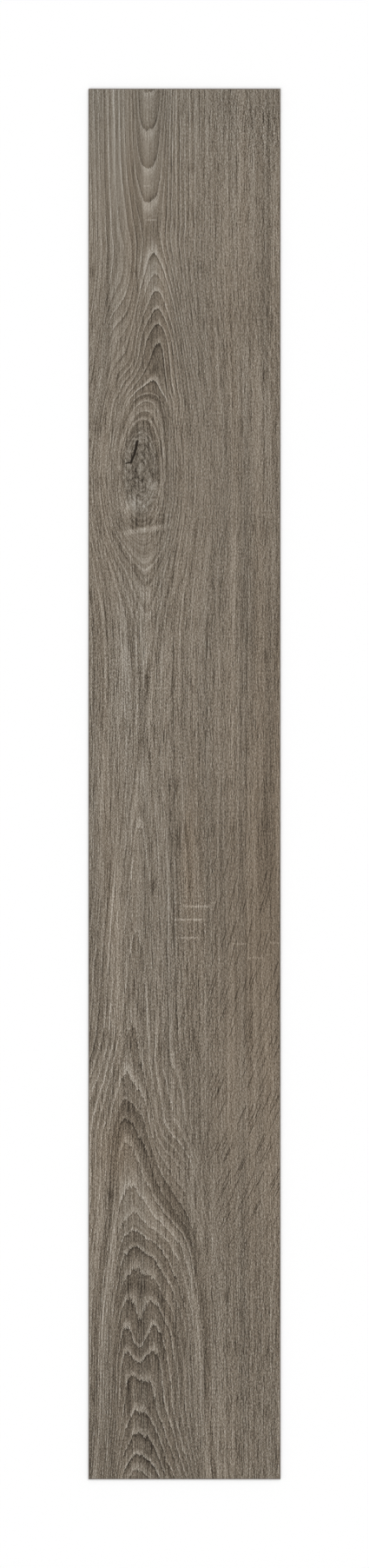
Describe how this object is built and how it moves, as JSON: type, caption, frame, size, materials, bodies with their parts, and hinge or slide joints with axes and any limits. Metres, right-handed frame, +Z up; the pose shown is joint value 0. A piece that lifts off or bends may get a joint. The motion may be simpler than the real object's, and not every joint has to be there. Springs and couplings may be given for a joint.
{
  "type": "vinyl floor plank",
  "caption": "Flat rectangular floor plank of wood-effect vinyl with a fine bevel round its wear face, glued down edge to edge to cover a floor.",
  "frame": {"origin": "middle of the back, the face that is glued down, which lies on the floor", "axes": "+X across the width, +Y along the length, +Z up through the thickness, out of the wear face"},
  "size_m": [0.1684, 1.2192, 0.0025],
  "materials": {
    "printed_vinyl": "matte"
  },
  "bodies": {
    "root": {"plank": "printed_vinyl"}
  },
  "joints": []
}
